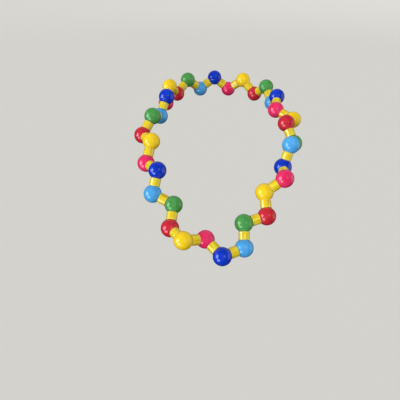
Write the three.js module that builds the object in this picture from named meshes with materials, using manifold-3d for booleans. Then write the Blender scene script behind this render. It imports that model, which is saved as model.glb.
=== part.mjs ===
// A beaded necklace: round balls and short tube beads threaded in turn on one closed loop of cord.
// It has the shape it takes when worn. Millimetres, +Z up, +Y towards the nape of the neck,
// +X to the right of someone who faces the wearer. The origin is where the back ball touches
// the neck.
import * as THREE from 'three';
import { mergeVertices } from 'three/addons/utils/BufferGeometryUtils.js';
import Module from 'manifold-3d';

const wasm = await Module();
wasm.setup();

// ---------------------------------------------------------------- driving dimensions

const BALL_DIAMETER = 16;
const THREAD_HOLE = 3;
const CORD_DIAMETER = 1.2;
const TUBE_DIAMETER = 9.5;
const TUBE_BORE = 6.6;
const SEAT_DIAMETER = 8;    // where the hollow that a ball seats in opens onto a tube's flat rim
const TUBE_WEB = 3;         // wall across the middle of a tube, which the cord runs through
const PITCH = 21;           // from one ball's centre to the next along the thread
const SEAT_GAP = 0.3;       // between a tube's seat and the ball in it
const CORD_END_GAP = 1;     // from a ball's centre to the end of a string's cord

// The balls come in six colours, in this order all round the loop from the front ball.
const BALL_COLOURS = [
  { name: 'blue', colour: 0x1f4fc8 },
  { name: 'light_blue', colour: 0x4fb0f0 },
  { name: 'green', colour: 0x4aa354 },
  { name: 'red', colour: 0xd62b38 },
  { name: 'yellow', colour: 0xf6d624 },
  { name: 'pink', colour: 0xee4070 },
];
const TUBE_COLOUR = 0xe6cc2c;
const ROUNDS_OF_COLOUR = 6;
const BALL_COUNT = BALL_COLOURS.length * ROUNDS_OF_COLOUR;

// How the thread runs over the chest and shoulders, one row for each tube from the front ball
// outwards. heading is the way it goes seen from above: 0 along +X, 90 towards the nape.
// rise is how steeply it climbs. Both are in degrees.
const RIGHT_THREAD = [
  { heading: 25, rise: 5 },
  { heading: 90, rise: 50 },
  { heading: 15, rise: 10 },
  { heading: 95, rise: 45 },
  { heading: 10, rise: 35 },
  { heading: 85, rise: 0 },
  { heading: 50, rise: 60 },
  { heading: 70, rise: -20 },
  { heading: 115, rise: 45 },
  { heading: 60, rise: -10 },
  { heading: 140, rise: 15 },
  { heading: 80, rise: 20 },
];
const LEFT_THREAD = [
  { heading: 135, rise: 20 },
  { heading: 205, rise: 15 },
  { heading: 125, rise: 0 },
  { heading: 80, rise: 40 },
  { heading: 160, rise: 20 },
  { heading: 70, rise: 55 },
  { heading: 125, rise: -5 },
  { heading: 70, rise: 50 },
  { heading: 120, rise: -5 },
  { heading: 50, rise: 45 },
  { heading: 75, rise: -20 },
  { heading: 60, rise: 50 },
];

// Behind the neck the thread takes a plain arc, with every second ball standing lower.
const NAPE_ARC = 200;       // degrees of the circle between the two last charted balls

// How finely the round faces are divided.
const BALL_DETAIL = 2;
const HOLE_SIDES = 5;
const TUBE_SIDES = 10;
const CORD_SIDES = 5;
const MERGE_DISTANCE = 1e-4;

const BACK = new THREE.Vector3(0, 1, 0);

// ---------------------------------------------------------------- the thread's course

function stepAlong({ heading, rise }) {
  const turn = THREE.MathUtils.degToRad(heading);
  const climb = THREE.MathUtils.degToRad(rise);
  const level = PITCH * Math.cos(climb);
  return new THREE.Vector3(level * Math.cos(turn), level * Math.sin(turn), PITCH * Math.sin(climb));
}

function chartedCentres(thread) {
  const centre = new THREE.Vector3();
  return thread.map((row) => centre.add(stepAlong(row)).clone());
}

// The centres between the last charted balls, from the right one round to the left one.
function napeCentres(rightEnd, leftEnd, count) {
  const across = leftEnd.clone().sub(rightEnd);
  const halfChord = across.length() / 2;
  across.normalize();
  const outward = BACK.clone().projectOnPlane(across).normalize();
  const upward = outward.clone().cross(across);

  const halfArc = THREE.MathUtils.degToRad(NAPE_ARC) / 2;
  const radius = halfChord / Math.sin(halfArc);
  const arcCentre = rightEnd.clone().lerp(leftEnd, 0.5)
    .addScaledVector(outward, -radius * Math.cos(halfArc));

  const step = 2 * halfArc / (count + 1);
  const levelPitch = 2 * radius * Math.sin(step / 2);
  const drop = Math.sqrt(PITCH ** 2 - levelPitch ** 2);

  return Array.from({ length: count }, (_, index) => {
    const angle = (index + 1) * step - halfArc;
    const isLow = index % 2 === 0;
    return arcCentre.clone()
      .addScaledVector(across, radius * Math.sin(angle))
      .addScaledVector(outward, radius * Math.cos(angle))
      .addScaledVector(upward, isLow ? -drop : 0);
  });
}

function ballCentres() {
  const right = chartedCentres(RIGHT_THREAD);
  const left = chartedCentres(LEFT_THREAD);
  const hidden = BALL_COUNT - 1 - right.length - left.length;
  const nape = napeCentres(right.at(-1), left.at(-1), hidden);
  return [new THREE.Vector3(), ...right, ...nape, ...left.reverse()];
}

// ---------------------------------------------------------------- solids

function toSolid(geometry) {
  geometry.deleteAttribute('normal');
  geometry.deleteAttribute('uv');
  const merged = mergeVertices(geometry, MERGE_DISTANCE);
  return new wasm.Manifold(new wasm.Mesh({
    numProp: 3,
    vertProperties: merged.attributes.position.array,
    triVerts: new Uint32Array(merged.index.array),
  }));
}

function toGeometry(solid) {
  const { vertProperties, triVerts } = solid.getMesh();
  const geometry = new THREE.BufferGeometry();
  geometry.setAttribute('position', new THREE.BufferAttribute(vertProperties, 3));
  geometry.setIndex(new THREE.BufferAttribute(triVerts, 1));
  geometry.computeVertexNormals();
  return geometry;
}

// Lays a shape made about the Y axis along the line between two points, in its middle.
function layBetween(geometry, from, to) {
  const axis = to.clone().sub(from).normalize();
  const turn = new THREE.Quaternion().setFromUnitVectors(BACK, axis);
  const middle = from.clone().lerp(to, 0.5);
  return geometry.applyQuaternion(turn).translate(middle.x, middle.y, middle.z);
}

function rod(from, to, diameter, sides) {
  const length = from.distanceTo(to);
  return toSolid(layBetween(new THREE.CylinderGeometry(diameter / 2, diameter / 2, length, sides), from, to));
}

// A ball about its own centre. Its two thread holes meet in the middle at the angle at which
// the thread turns there.
function ballGeometry(towardsLast, towardsNext) {
  const middle = new THREE.Vector3();
  const [inlet, outlet] = [towardsLast, towardsNext]
    .map((way) => rod(middle, way.clone().multiplyScalar(BALL_DIAMETER), THREAD_HOLE, HOLE_SIDES));
  const ball = toSolid(new THREE.IcosahedronGeometry(BALL_DIAMETER / 2, BALL_DETAIL));
  return toGeometry(ball.subtract(inlet.add(outlet)));
}

// How far a tube can reach from its own middle, at the given diameter, before it meets a ball.
function reachToBall(diameter) {
  return PITCH / 2 - SEAT_GAP - Math.sqrt((BALL_DIAMETER / 2) ** 2 - (diameter / 2) ** 2);
}

// The outline of half a tube's section, from its axis round the rims and back to its axis.
function tubeOutline() {
  const halfWeb = TUBE_WEB / 2;
  const upperHalf = [
    new THREE.Vector2(TUBE_DIAMETER / 2, reachToBall(SEAT_DIAMETER)),
    new THREE.Vector2(SEAT_DIAMETER / 2, reachToBall(SEAT_DIAMETER)),
    new THREE.Vector2(TUBE_BORE / 2, reachToBall(TUBE_BORE)),
    new THREE.Vector2(TUBE_BORE / 2, halfWeb),
    new THREE.Vector2(0, halfWeb),
  ];
  const lowerHalf = upperHalf.map((point) => new THREE.Vector2(point.x, -point.y)).reverse();
  return [...lowerHalf, ...upperHalf];
}

function tube(from, to) {
  return toSolid(layBetween(new THREE.LatheGeometry(tubeOutline(), TUBE_SIDES), from, to));
}

// The tubes between the given ball centres, joined by the cord that runs through them all.
function tubeStringGeometry(centres) {
  const cordRoute = centres.map((centre) => centre.clone());
  cordRoute[0].lerp(centres[1], CORD_END_GAP / PITCH);
  cordRoute.at(-1).lerp(centres.at(-2), CORD_END_GAP / PITCH);

  const pieces = [];
  for (let index = 1; index < centres.length; index += 1) {
    pieces.push(tube(centres[index - 1], centres[index]));
    pieces.push(rod(cordRoute[index - 1], cordRoute[index], CORD_DIAMETER, CORD_SIDES));
  }
  return toGeometry(pieces.reduce((joined, piece) => joined.add(piece)));
}

// ---------------------------------------------------------------- the necklace

function glossyPlastic(colour) {
  return new THREE.MeshStandardMaterial({ color: colour, roughness: 0.2, metalness: 0 });
}

function ballMesh(centres, index) {
  const centre = centres[index];
  const last = centres.at(index - 1);
  const next = centres[(index + 1) % centres.length];
  const { name, colour } = BALL_COLOURS[index % BALL_COLOURS.length];
  const geometry = ballGeometry(last.clone().sub(centre).normalize(), next.clone().sub(centre).normalize());
  const mesh = new THREE.Mesh(geometry, glossyPlastic(colour));
  mesh.name = `ball_${String(index + 1).padStart(2, '0')}_${name}`;
  mesh.position.copy(centre);
  return mesh;
}

// One string holds the tubes of one round of colours, from a blue ball to the next.
function tubeStringMesh(centres, round) {
  const tubes = BALL_COLOURS.length;
  const first = round * tubes;
  const start = centres[first];
  const held = Array.from({ length: tubes + 1 }, (_, place) => centres[(first + place) % centres.length]);
  const geometry = tubeStringGeometry(held.map((centre) => centre.clone().sub(start)));
  const mesh = new THREE.Mesh(geometry, glossyPlastic(TUBE_COLOUR));
  mesh.name = `tube_string_${round + 1}`;
  mesh.position.copy(start);
  return mesh;
}

function buildNecklace() {
  const centres = ballCentres();
  const loop = new THREE.Group();
  for (let index = 0; index < BALL_COUNT; index += 1) {
    loop.add(ballMesh(centres, index));
  }
  for (let round = 0; round < ROUNDS_OF_COLOUR; round += 1) {
    loop.add(tubeStringMesh(centres, round));
  }

  const backBall = centres[BALL_COUNT / 2];
  loop.position.copy(backBall).negate();
  loop.position.y += BALL_DIAMETER / 2;

  const necklace = new THREE.Group();
  necklace.add(loop);
  return necklace;
}

export default buildNecklace();
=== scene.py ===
"""Looks of a worn necklace: glossy round balls and short yellow tube beads on one loop of cord.

Every ball and tube sits where its CAD solid sits. The loop of thread is read from the balls'
boxes, and each piece is made along its own stretch of that thread.
"""
import math

import bmesh
import bpy
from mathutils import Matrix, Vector


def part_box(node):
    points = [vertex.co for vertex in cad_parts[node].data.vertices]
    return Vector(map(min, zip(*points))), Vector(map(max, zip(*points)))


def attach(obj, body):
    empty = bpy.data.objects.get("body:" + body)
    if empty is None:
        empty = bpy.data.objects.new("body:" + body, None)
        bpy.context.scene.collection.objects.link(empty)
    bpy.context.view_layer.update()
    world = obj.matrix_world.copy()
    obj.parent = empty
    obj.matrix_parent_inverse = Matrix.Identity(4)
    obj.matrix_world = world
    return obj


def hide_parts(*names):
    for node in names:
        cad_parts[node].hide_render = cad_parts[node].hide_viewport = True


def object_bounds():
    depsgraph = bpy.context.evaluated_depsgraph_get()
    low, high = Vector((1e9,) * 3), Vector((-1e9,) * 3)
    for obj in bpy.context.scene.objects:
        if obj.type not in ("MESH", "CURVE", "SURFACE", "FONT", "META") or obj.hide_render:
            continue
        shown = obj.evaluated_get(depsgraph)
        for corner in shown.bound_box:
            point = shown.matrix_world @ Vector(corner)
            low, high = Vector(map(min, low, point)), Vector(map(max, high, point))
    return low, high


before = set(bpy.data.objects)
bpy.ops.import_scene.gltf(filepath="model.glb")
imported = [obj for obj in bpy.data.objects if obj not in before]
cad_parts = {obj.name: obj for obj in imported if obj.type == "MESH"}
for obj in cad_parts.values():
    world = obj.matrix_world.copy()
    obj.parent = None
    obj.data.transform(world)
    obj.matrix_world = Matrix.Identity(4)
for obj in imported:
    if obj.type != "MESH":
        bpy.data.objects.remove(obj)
cad_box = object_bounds()

MM = 0.001

# ---------------------------------------------------------------- sizes and places

BALL_DIAMETER = 16 * MM
HOLE_DIAMETER = 3 * MM
MOUTH_DIAMETER = 4.4 * MM    # of the thread hole where it flares out through a ball's skin
MOUTH_DEPTH = 0.8 * MM
THREAD_BEND = 2.5 * MM       # radius of the turn that the thread takes inside a ball
DRILL_STEP = 0.6 * MM        # between the rings of a drilled hole

TUBE_DIAMETER = 9.5 * MM
TUBE_BORE = 6.6 * MM
SEAT_DIAMETER = 8 * MM       # where the hollow that a ball seats in opens onto a tube's rim
SEAT_GAP = 0.06 * MM         # between a tube's seat and the ball in it
RIM_EASE = 0.25 * MM         # radius that eases a tube's rims
THREAD_STEP = 21 * MM        # from one ball's centre to the next
BALL_TO_RIM = math.sqrt((BALL_DIAMETER / 2 + SEAT_GAP) ** 2 - (SEAT_DIAMETER / 2) ** 2)
TUBE_LENGTH = THREAD_STEP - 2 * BALL_TO_RIM

CORD_DIAMETER = 1.2 * MM

# How finely the round shapes are divided.
BALL_FINENESS = 5
HOLE_SIDES = 24
TUBE_SIDES = 64
CORD_SIDES = 10
BEND_STEPS = 6               # points on the rounded turn of the thread in a ball
RIM_STEPS = 4                # points on each eased corner of a tube's rim
WALL_CUTS = 3                # cuts along each side of a tube wall's section
WELD_DISTANCE = 0.001 * MM   # corners nearer to each other than this become one

# Draws that spin each tube on the cord and choose how warm its yellow is.
SPIN_SEED = 7
WARMTH_SEED = 3

# The studio's pale floor and round wall, in metres.
COVE_RADIUS = 13
COVE_CURVE = 6               # radius of the sweep from the floor up into the wall
COVE_HEIGHT = 10
COVE_SIDES = 96
COVE_STEPS = 12              # rings of faces in the sweep
FLOOR_DROP = 1.2             # from the lowest bead down to the floor

# The camera's place from the middle of the front ball, and how far down it looks.
CAMERA_OFFSET = Vector((-18.5, -253.3, 220.6)) * MM
CAMERA_TILT = math.radians(33)
CAMERA_LENS = 36             # focal length and sensor width, in millimetres
CAMERA_SENSOR = 36

# ---------------------------------------------------------------- finishes

# The two shades between which each glossy plastic wanders.
BALL_SHADES = {
    "blue": ((0.001, 0.022, 0.44), (0.004, 0.049, 0.62)),
    "light_blue": ((0.060, 0.34, 0.76), (0.090, 0.43, 0.87)),
    "green": ((0.054, 0.28, 0.055), (0.086, 0.37, 0.092)),
    "red": ((0.49, 0.012, 0.024), (0.66, 0.028, 0.052)),
    "yellow": ((0.89, 0.60, 0.006), (0.96, 0.68, 0.018)),
    "pink": ((0.74, 0.016, 0.10), (0.89, 0.040, 0.17)),
}
BEAD_GLOSS = 0.9             # strength of a bead's reflections
# The shades that a tube's streaks pass through, the pale shade painted on its rims as a highlight, and
# what the warmer tubes turn to.
TUBE_SHADES = ((0.52, 0.36, 0.005), (0.80, 0.61, 0.008), (0.76, 0.70, 0.015), (0.86, 0.82, 0.07))
TUBE_RIM_HIGHLIGHT = (0.96, 0.86, 0.24)
RIM_HIGHLIGHT_START = 0.7 * MM    # from a tube's end to where its painted rim highlight starts
RIM_HIGHLIGHT_END = 0.3 * MM      # and to where the painted highlight is brightest
STREAK_SQUEEZE = 0.16        # a streak is as many times longer than wide as this goes into 1
TUBE_WARM_SHADE = (0.93, 0.60, 0.012)
CORD_SHADES = ((0.62, 0.60, 0.52), (0.80, 0.78, 0.70))

# The studio's paint and air, and the tints of its windows and lamps.
COVE_SHADE = (0.41, 0.405, 0.385)
COVE_GLOW = 0.7
SKY_PALE = (0.25, 0.245, 0.235)
SKY_DIM = (0.04, 0.04, 0.04)
COOL = (0.78, 0.93, 1.0)
WARM = (1.0, 0.95, 0.78)


# ---------------------------------------------------------------- node helpers

def add(tree, kind, inputs=None, **properties):
    """Adds a node, sets its properties, and sets or links its inputs."""
    node = tree.nodes.new(kind)
    for name, value in properties.items():
        setattr(node, name, value)
    for key, value in (inputs or {}).items():
        if isinstance(value, bpy.types.NodeSocket):
            tree.links.new(value, node.inputs[key])
        else:
            node.inputs[key].default_value = value
    return node


def calc(tree, operation, *values):
    return add(tree, "ShaderNodeMath", dict(enumerate(values)), operation=operation).outputs[0]


def half(tree, value):
    return calc(tree, "MULTIPLY", value, 0.5)


def vector_calc(tree, operation, *values):
    """The vector that an operation gives, or the number if it measures something."""
    node = add(tree, "ShaderNodeVectorMath", dict(enumerate(values)), operation=operation)
    measures = operation in ("LENGTH", "DISTANCE", "DOT_PRODUCT")
    return node.outputs["Value" if measures else "Vector"]


def shape_tree(name, *sizes):
    """A geometry tree that takes a stretch of thread, the named sizes and a material."""
    tree = bpy.data.node_groups.new(name, "GeometryNodeTree")
    sockets = tree.interface
    sockets.new_socket("Thread", in_out="INPUT", socket_type="NodeSocketGeometry")
    for size in sizes:
        sockets.new_socket(size, in_out="INPUT", socket_type="NodeSocketFloat")
    sockets.new_socket("Material", in_out="INPUT", socket_type="NodeSocketMaterial")
    sockets.new_socket("Shape", in_out="OUTPUT", socket_type="NodeSocketGeometry")
    return tree, add(tree, "NodeGroupInput").outputs


def deliver(tree, given, shape):
    """Ends a tree: makes its instances real, gives them the material and hands them over."""
    real = add(tree, "GeometryNodeRealizeInstances", {"Geometry": shape}).outputs[0]
    finished = add(tree, "GeometryNodeSetMaterial", {"Geometry": real, "Material": given["Material"]})
    add(tree, "NodeGroupOutput", {"Shape": finished.outputs[0]})


def smooth(tree, shape, crease=math.radians(30)):
    """Shades a shape smooth, apart from edges sharper than the crease."""
    rounded = add(tree, "GeometryNodeSetShadeSmooth", {"Geometry": shape}).outputs[0]
    angle = add(tree, "GeometryNodeInputMeshEdgeAngle").outputs["Unsigned Angle"]
    sharp = add(tree, "FunctionNodeCompare", {0: angle, 1: crease}, operation="GREATER_THAN").outputs[0]
    creased = add(tree, "GeometryNodeSetShadeSmooth",
                  {"Geometry": rounded, "Selection": sharp, "Shade Smooth": False}, domain="EDGE")
    return creased.outputs[0]


def bent_thread(tree, given):
    """The thread as a curve whose corners are rounded inside the balls."""
    straight = add(tree, "GeometryNodeMeshToCurve", {"Mesh": given["Thread"]}).outputs[0]
    bent = add(tree, "GeometryNodeFilletCurve",
               {"Curve": straight, "Count": BEND_STEPS, "Radius": given["Bend Radius"]}, mode="POLY")
    return bent.outputs[0]


# ---------------------------------------------------------------- shapes

def drilled_ball_tree():
    """A ball round the thread's middle point, drilled along the thread from both sides."""
    tree, given = shape_tree("drilled_ball", "Ball Diameter", "Hole Diameter", "Mouth Diameter",
                             "Mouth Depth", "Bend Radius", "Drill Step")
    position = add(tree, "GeometryNodeInputPosition").outputs[0]
    centre = add(tree, "GeometryNodeSampleIndex",
                 {"Geometry": given["Thread"], "Value": position, "Index": 1},
                 data_type="FLOAT_VECTOR").outputs[0]
    radius = half(tree, given["Ball Diameter"])
    sphere = add(tree, "GeometryNodeMeshIcoSphere", {"Radius": radius, "Subdivisions": BALL_FINENESS})
    ball = add(tree, "GeometryNodeTransform", {"Geometry": sphere.outputs[0], "Translation": centre})

    route = add(tree, "GeometryNodeResampleCurve",
                {"Curve": bent_thread(tree, given), "Length": given["Drill Step"]}, mode="LENGTH")
    flare = add(tree, "ShaderNodeMapRange",
                {"Value": vector_calc(tree, "DISTANCE", position, centre),
                 "From Min": calc(tree, "SUBTRACT", radius, given["Mouth Depth"]), "From Max": radius,
                 "To Min": 1.0,
                 "To Max": calc(tree, "DIVIDE", given["Mouth Diameter"], given["Hole Diameter"])})
    section = add(tree, "GeometryNodeCurvePrimitiveCircle",
                  {"Resolution": HOLE_SIDES, "Radius": half(tree, given["Hole Diameter"])})
    drill = add(tree, "GeometryNodeCurveToMesh",
                {"Curve": route.outputs[0], "Profile Curve": section.outputs[0],
                 "Scale": flare.outputs[0], "Fill Caps": True})
    drilled = add(tree, "GeometryNodeMeshBoolean",
                  {"Mesh 1": ball.outputs[0], "Mesh 2": drill.outputs[0]},
                  operation="DIFFERENCE", solver="EXACT")
    deliver(tree, given, smooth(tree, drilled.outputs[0]))
    return tree


def tube_wall(tree, given):
    """A straight tube about the Z axis with eased rims."""
    outside, bore = given["Tube Diameter"], given["Tube Bore"]
    section = add(tree, "GeometryNodeCurvePrimitiveQuadrilateral",
                  {"Width": half(tree, calc(tree, "SUBTRACT", outside, bore)),
                   "Height": given["Tube Length"]})
    divided = add(tree, "GeometryNodeSubdivideCurve", {"Curve": section.outputs[0], "Cuts": WALL_CUTS})
    eased = add(tree, "GeometryNodeFilletCurve",
                {"Curve": divided.outputs[0], "Count": RIM_STEPS, "Radius": given["Rim Ease"]},
                mode="POLY")
    middle_radius = half(tree, half(tree, calc(tree, "ADD", outside, bore)))
    ring = add(tree, "GeometryNodeCurvePrimitiveCircle",
               {"Resolution": TUBE_SIDES, "Radius": middle_radius})
    wall = add(tree, "GeometryNodeCurveToMesh",
               {"Curve": ring.outputs[0], "Profile Curve": eased.outputs[0]})
    return add(tree, "GeometryNodeMergeByDistance",
               {"Geometry": wall.outputs[0], "Distance": WELD_DISTANCE}).outputs[0]


def seated_on_balls(tree, given, tube):
    """Presses a tube's ends back to the balls that sit in them."""
    place = add(tree, "GeometryNodeInputPosition").outputs[0]
    along = add(tree, "ShaderNodeSeparateXYZ", {0: place}).outputs["Z"]
    level = vector_calc(tree, "MULTIPLY", place, (1, 1, 0))
    from_axis = vector_calc(tree, "LENGTH", level)
    radius = calc(tree, "ADD", half(tree, given["Ball Diameter"]), given["Seat Gap"])
    squares = calc(tree, "SUBTRACT", calc(tree, "POWER", radius, 2.0),
                   calc(tree, "POWER", from_axis, 2.0))
    room = calc(tree, "SUBTRACT", half(tree, given["Thread Step"]), calc(tree, "SQRT", squares))
    kept = calc(tree, "MINIMUM", calc(tree, "ABSOLUTE", along), room)
    side = calc(tree, "SIGN", along)
    height = add(tree, "ShaderNodeCombineXYZ", {"Z": calc(tree, "MULTIPLY", side, kept)})
    pressed = vector_calc(tree, "ADD", level, height.outputs[0])
    return add(tree, "GeometryNodeSetPosition", {"Geometry": tube, "Position": pressed}).outputs[0]


def tube_string_tree():
    """A tube bead on the middle of each straight stretch of the thread."""
    tree, given = shape_tree("tube_string", "Tube Diameter", "Tube Bore", "Tube Length", "Rim Ease",
                             "Ball Diameter", "Seat Gap", "Thread Step")
    tube = smooth(tree, seated_on_balls(tree, given, tube_wall(tree, given)))
    own_place = add(tree, "GeometryNodeStoreNamedAttribute",
                    {"Geometry": tube, "Name": "bead_place",
                     "Value": add(tree, "GeometryNodeInputPosition").outputs[0]},
                    data_type="FLOAT_VECTOR", domain="POINT")

    ends = add(tree, "GeometryNodeInputMeshEdgeVertices")
    way = vector_calc(tree, "SUBTRACT", ends.outputs["Position 2"], ends.outputs["Position 1"])
    kept = add(tree, "GeometryNodeCaptureAttribute", {"Geometry": given["Thread"]}, domain="EDGE")
    kept.capture_items.new("VECTOR", "way")
    tree.links.new(way, kept.inputs["way"])
    seats = add(tree, "GeometryNodeMeshToPoints", {"Mesh": kept.outputs["Geometry"]}, mode="EDGES")
    along = add(tree, "FunctionNodeAlignRotationToVector", {"Vector": kept.outputs["way"]}, axis="Z")
    spin = add(tree, "FunctionNodeRandomValue", {2: 0.0, 3: math.tau, "Seed": SPIN_SEED},
               data_type="FLOAT")
    turn = add(tree, "FunctionNodeAxisAngleToRotation", {"Axis": (0, 0, 1), "Angle": spin.outputs[1]})
    seated = add(tree, "FunctionNodeRotateRotation",
                 {"Rotation": along.outputs[0], "Rotate By": turn.outputs[0]}, rotation_space="LOCAL")
    beads = add(tree, "GeometryNodeInstanceOnPoints",
                {"Points": seats.outputs[0], "Instance": own_place.outputs[0],
                 "Rotation": seated.outputs[0]})
    shade = add(tree, "FunctionNodeRandomValue", {2: 0.0, 3: 1.0, "Seed": WARMTH_SEED},
                data_type="FLOAT")
    shaded = add(tree, "GeometryNodeStoreNamedAttribute",
                 {"Geometry": beads.outputs[0], "Name": "bead_shade", "Value": shade.outputs[1]},
                 data_type="FLOAT", domain="INSTANCE")
    deliver(tree, given, shaded.outputs[0])
    return tree


def cord_tree():
    """The whole loop of cord, turning smoothly inside each ball."""
    tree, given = shape_tree("cord", "Cord Diameter", "Bend Radius")
    section = add(tree, "GeometryNodeCurvePrimitiveCircle",
                  {"Resolution": CORD_SIDES, "Radius": half(tree, given["Cord Diameter"])})
    cord = add(tree, "GeometryNodeCurveToMesh",
               {"Curve": bent_thread(tree, given), "Profile Curve": section.outputs[0]})
    deliver(tree, given, smooth(tree, cord.outputs[0]))
    return tree


def made_along(name, thread, tree, sizes, material, closed=False):
    """A plain mesh piece that a tree makes along the given points of the thread."""
    joins = [(index, index + 1) for index in range(len(thread) - 1)]
    if closed:
        joins.append((len(thread) - 1, 0))
    line = bpy.data.meshes.new(name)
    line.from_pydata(thread, joins, [])
    piece = bpy.data.objects.new(name, line)
    bpy.context.scene.collection.objects.link(piece)

    modifier = piece.modifiers.new(tree.name, "NODES")
    modifier.node_group = tree
    for socket in tree.interface.items_tree:
        if socket.name in sizes:
            modifier[socket.identifier] = sizes[socket.name]
        if socket.name == "Material":
            modifier[socket.identifier] = material

    graph = bpy.context.evaluated_depsgraph_get()
    shape = bpy.data.meshes.new_from_object(piece.evaluated_get(graph))
    piece.modifiers.remove(modifier)
    piece.data = shape
    shape.name = name
    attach(piece, "root")
    return piece


# ---------------------------------------------------------------- materials

def new_finish(name):
    material = bpy.data.materials.new(name)
    material.use_nodes = True
    tree = material.node_tree
    return material, tree, tree.nodes["Principled BSDF"]


def ramp(tree, factor, shades, low=0.3, high=0.7):
    """Colours that pass evenly through the shades, as the factor goes from low to high."""
    node = add(tree, "ShaderNodeValToRGB", {"Fac": factor})
    stops = node.color_ramp.elements
    while len(stops) < len(shades):
        stops.new(0.5)
    for index, shade in enumerate(shades):
        stops[index].position = low + (high - low) * index / (len(shades) - 1)
        stops[index].color = (*shade, 1)
    return node.outputs["Color"]


def noise(tree, place, scale, detail=2.0, roughness=0.5):
    """Clouds from 0 to 1, of the given number of lumps to the metre."""
    clouds = add(tree, "ShaderNodeTexNoise",
                 {"Vector": place, "Scale": scale, "Detail": detail, "Roughness": roughness})
    return clouds.outputs["Fac"]


def spread_value(tree, factor, low, high):
    """A value that goes from low to high as the factor goes from 0 to 1."""
    return add(tree, "ShaderNodeMapRange", {"Value": factor, "To Min": low, "To Max": high}).outputs[0]


def blend(tree, factor, colour, shade):
    """A colour that turns into a plain shade as the factor goes from 0 to 1."""
    mix = add(tree, "ShaderNodeMix", data_type="RGBA")
    tree.links.new(factor, mix.inputs["Factor"])
    tree.links.new(colour, mix.inputs[6])
    mix.inputs[7].default_value = (*shade, 1)
    return mix.outputs[2]


def bump(tree, height, distance, strength):
    return add(tree, "ShaderNodeBump",
               {"Height": height, "Distance": distance, "Strength": strength}).outputs["Normal"]


def gloss_ball_finish(name, shades):
    """Polished moulded plastic: faint clouds of shade, and a skin that isn't quite even."""
    material, tree, skin = new_finish(name)
    place = add(tree, "ShaderNodeTexCoord").outputs["Object"]
    clouds = noise(tree, place, scale=160, detail=3)
    waves = noise(tree, place, scale=260, detail=1)
    tree.links.new(ramp(tree, clouds, shades), skin.inputs["Base Color"])
    tree.links.new(spread_value(tree, clouds, low=0.08, high=0.16), skin.inputs["Roughness"])
    skin.inputs["Specular IOR Level"].default_value = BEAD_GLOSS
    tree.links.new(bump(tree, waves, distance=0.03 * MM, strength=0.2), skin.inputs["Normal"])
    return material


def tube_finish():
    """Drawn yellow tube: lengthwise streaks, each tube a little greener or warmer, and rims paled by a
    painted highlight.
    """
    material, tree, skin = new_finish("tube_yellow")
    place = add(tree, "ShaderNodeAttribute", attribute_name="bead_place").outputs["Vector"]
    shade = add(tree, "ShaderNodeAttribute", attribute_name="bead_shade").outputs["Fac"]
    apart = add(tree, "ShaderNodeCombineXYZ", {"Z": shade})
    own = vector_calc(tree, "ADD", place, apart.outputs[0])
    drawn = add(tree, "ShaderNodeMapping", {"Vector": own, "Scale": (1, 1, STREAK_SQUEEZE)}).outputs[0]
    streaks = noise(tree, drawn, scale=520, detail=3, roughness=0.6)
    streaked = ramp(tree, streaks, TUBE_SHADES, low=0.36, high=0.66)
    warmed = blend(tree, spread_value(tree, shade, low=0.0, high=0.45), streaked, TUBE_WARM_SHADE)

    height = add(tree, "ShaderNodeSeparateXYZ", {0: place}).outputs["Z"]
    # Toward each end the tube pales to the rim shade: a painted highlight where the rims catch light.
    rim_highlight = add(tree, "ShaderNodeMapRange",
                 {"Value": calc(tree, "ABSOLUTE", height), "From Min": TUBE_LENGTH / 2 - RIM_HIGHLIGHT_START,
                  "From Max": TUBE_LENGTH / 2 - RIM_HIGHLIGHT_END, "To Max": 0.5}).outputs[0]
    tree.links.new(blend(tree, rim_highlight, warmed, TUBE_RIM_HIGHLIGHT), skin.inputs["Base Color"])
    tree.links.new(spread_value(tree, streaks, low=0.10, high=0.20), skin.inputs["Roughness"])
    skin.inputs["Specular IOR Level"].default_value = BEAD_GLOSS
    skin.inputs["Coat IOR"].default_value = 1.7
    skin.inputs["Coat Weight"].default_value = 0.6
    skin.inputs["Coat Roughness"].default_value = 0.08
    tree.links.new(bump(tree, streaks, distance=0.06 * MM, strength=0.4), skin.inputs["Normal"])
    return material


def cord_finish():
    """Pale, softly shining elastic with a fine grain."""
    material, tree, skin = new_finish("stretch_cord")
    place = add(tree, "ShaderNodeTexCoord").outputs["Object"]
    fibres = noise(tree, place, scale=2500, detail=2)
    tree.links.new(ramp(tree, fibres, CORD_SHADES), skin.inputs["Base Color"])
    tree.links.new(bump(tree, fibres, distance=0.1 * MM, strength=0.5), skin.inputs["Normal"])
    skin.inputs["Roughness"].default_value = 0.5
    return material


# ---------------------------------------------------------------- the necklace

def middle_of(node):
    low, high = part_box(node)
    return (low + high) / 2


def build_balls(nodes, centres):
    """A drilled ball for each of the given nodes, in the colour that the node's name ends with."""
    tree = drilled_ball_tree()
    sizes = {"Ball Diameter": BALL_DIAMETER, "Hole Diameter": HOLE_DIAMETER,
             "Mouth Diameter": MOUTH_DIAMETER, "Mouth Depth": MOUTH_DEPTH,
             "Bend Radius": THREAD_BEND, "Drill Step": DRILL_STEP}
    finishes = {colour: gloss_ball_finish(f"gloss_{colour}", shades)
                for colour, shades in BALL_SHADES.items()}
    for index, node in enumerate(nodes):
        colour = node.split("_", 2)[-1]
        thread = [centres[index - 1], centres[index], centres[(index + 1) % len(centres)]]
        ball = made_along(f"glossy_{node}", thread, tree, sizes, finishes[colour])
        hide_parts(node)


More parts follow.
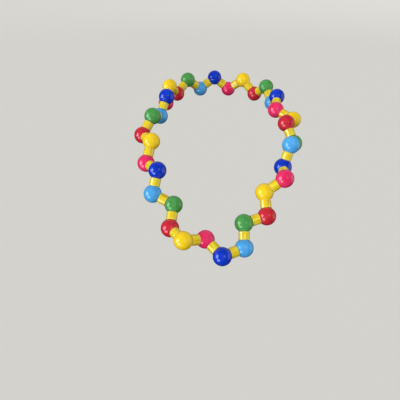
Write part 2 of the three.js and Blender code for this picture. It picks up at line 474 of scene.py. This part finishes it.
def build_tubes(nodes, centres):
    """A string of tubes for each of the given nodes, all with the same number of tubes."""
    tree = tube_string_tree()
    sizes = {"Tube Diameter": TUBE_DIAMETER, "Tube Bore": TUBE_BORE, "Tube Length": TUBE_LENGTH,
             "Rim Ease": RIM_EASE, "Ball Diameter": BALL_DIAMETER, "Seat Gap": SEAT_GAP,
             "Thread Step": THREAD_STEP}
    finish = tube_finish()
    each = len(centres) // len(nodes)
    for index, node in enumerate(nodes):
        thread = [centres[(index * each + place) % len(centres)] for place in range(each + 1)]
        tubes = made_along(f"tubes_{index + 1}", thread, tree, sizes, finish)
        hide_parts(node)


def build_cord(centres):
    sizes = {"Cord Diameter": CORD_DIAMETER, "Bend Radius": THREAD_BEND}
    cord = made_along("stretch_cord", centres, cord_tree(), sizes, cord_finish(), closed=True)


# ---------------------------------------------------------------- stage, light and camera

def build_stage(floor_height):
    """A wide pale floor that curves up into a round wall far behind."""
    profile = [(COVE_RADIUS - COVE_CURVE, 0.0)]
    for step in range(1, COVE_STEPS + 1):
        angle = math.radians(90) * step / COVE_STEPS
        profile.append((COVE_RADIUS - COVE_CURVE + COVE_CURVE * math.sin(angle),
                        COVE_CURVE * (1 - math.cos(angle))))
    profile.append((COVE_RADIUS, COVE_HEIGHT))

    shape = bmesh.new()
    middle = shape.verts.new((0, 0, floor_height))
    rings = [[shape.verts.new((radius * math.cos(turn), radius * math.sin(turn), floor_height + height))
              for turn in (math.tau * side / COVE_SIDES for side in range(COVE_SIDES))]
             for radius, height in profile]
    for side in range(COVE_SIDES):
        after = (side + 1) % COVE_SIDES
        shape.faces.new((middle, rings[0][side], rings[0][after]))
        for inner, outer in zip(rings, rings[1:]):
            shape.faces.new((inner[side], outer[side], outer[after], inner[after]))
    mesh = bpy.data.meshes.new("pale_cove")
    shape.to_mesh(mesh)
    shape.free()
    mesh.shade_smooth()

    cove = bpy.data.objects.new("pale_cove", mesh)
    bpy.context.scene.collection.objects.link(cove)
    material, _, skin = new_finish("pale_paint")
    skin.inputs["Base Color"].default_value = (*COVE_SHADE, 1)
    skin.inputs["Roughness"].default_value = 1.0
    skin.inputs["Specular IOR Level"].default_value = 0.0
    skin.inputs["Emission Color"].default_value = (*COVE_SHADE, 1)
    skin.inputs["Emission Strength"].default_value = COVE_GLOW
    mesh.materials.append(material)
    cove.visible_glossy = cove.visible_diffuse = cove.visible_shadow = False


def soft_panel(name, target, way, distance, size, brightness, tint=(1, 1, 1), gloss=True, matt=True):
    """A rectangular light that faces the target from the given direction.

    gloss and matt say whether it shows as a reflection and whether it lights the colours.
    """
    lamp = bpy.data.lights.new(name, "AREA")
    lamp.shape = "RECTANGLE"
    lamp.size, lamp.size_y = size
    lamp.energy = brightness * math.pi * size[0] * size[1]
    lamp.color = tint
    panel = bpy.data.objects.new(name, lamp)
    panel.location = target + Vector(way).normalized() * distance
    panel.rotation_euler = Vector(way).to_track_quat("Z", "Y").to_euler()
    panel.visible_camera = False
    panel.visible_glossy = gloss
    panel.visible_diffuse = matt
    bpy.context.scene.collection.objects.link(panel)


def soft_sun(name, way, spread, strength):
    """A far and even light from the given direction, which shows in no reflection."""
    lamp = bpy.data.lights.new(name, "SUN")
    lamp.angle = math.radians(spread)
    lamp.energy = strength
    sun = bpy.data.objects.new(name, lamp)
    sun.rotation_euler = Vector(way).to_track_quat("Z", "Y").to_euler()
    sun.visible_glossy = False
    bpy.context.scene.collection.objects.link(sun)


def build_sky():
    """Pale walls and ceiling behind the wearer, and a dim room in front."""
    world = bpy.data.worlds.new("studio")
    bpy.context.scene.world = world
    world.use_nodes = True
    tree = world.node_tree
    way = add(tree, "ShaderNodeTexCoord").outputs["Generated"]
    behind_and_above = (0, 0.96, 0.29)
    nearness = vector_calc(tree, "DOT_PRODUCT", way, behind_and_above)
    shade = ramp(tree, nearness, (SKY_DIM, SKY_PALE), low=0.5, high=0.95)
    tree.links.new(shade, tree.nodes["Background"].inputs["Color"])


def build_light(target):
    """Cool window light from the left, warm room light from the right, and even light from above."""
    build_sky()
    soft_panel("window_high", target, way=(-0.92, -0.26, 0.22), distance=2, size=(1.15, 1.35),
               brightness=3.8, tint=COOL, matt=False)
    soft_panel("window_low", target, way=(-0.665, -0.697, -0.252), distance=2, size=(1.1, 0.9),
               brightness=3.8, tint=COOL, matt=False)
    soft_panel("doorway", target, way=(0.40, -0.64, 0.66), distance=2, size=(0.4, 0.8),
               brightness=1.35, tint=WARM, matt=False)
    soft_panel("pale_wall", target, way=(1.0, 0.1, 0.0), distance=3, size=(3.0, 3.0),
               brightness=0.55, tint=WARM, matt=False)
    soft_panel("ceiling", target, way=(0, 0, 1), distance=10, size=(40, 40),
               brightness=0.76, gloss=False)
    soft_sun("window_glow", way=(-0.83, -0.5, 0.12), spread=45, strength=2.0)
    soft_sun("front_fill", way=(-0.1, -1, 0.2), spread=60, strength=1.18)
    soft_sun("side_fill", way=(1, 0, 0), spread=60, strength=0.75)


def build_camera(front_ball):
    """Looks down at the chest from just above the wearer's face."""
    lens = bpy.data.cameras.new("camera")
    lens.sensor_width = CAMERA_SENSOR
    lens.lens = CAMERA_LENS
    lens.clip_start = 0.01
    camera = bpy.data.objects.new("camera", lens)
    camera.location = front_ball + CAMERA_OFFSET
    camera.rotation_euler = (math.pi / 2 - CAMERA_TILT, 0, 0)
    bpy.context.scene.collection.objects.link(camera)
    bpy.context.scene.camera = camera


ball_nodes = sorted(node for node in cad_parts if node.startswith("ball_"))
string_nodes = sorted(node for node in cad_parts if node.startswith("tube_string_"))
ball_centres = [middle_of(node) for node in ball_nodes]

build_camera(ball_centres[0])
build_balls(ball_nodes, ball_centres)
build_tubes(string_nodes, ball_centres)
build_cord(ball_centres)
build_stage(cad_box[0].z - FLOOR_DROP)
build_light(ball_centres[0])
bpy.context.scene.view_settings.view_transform = "Standard"
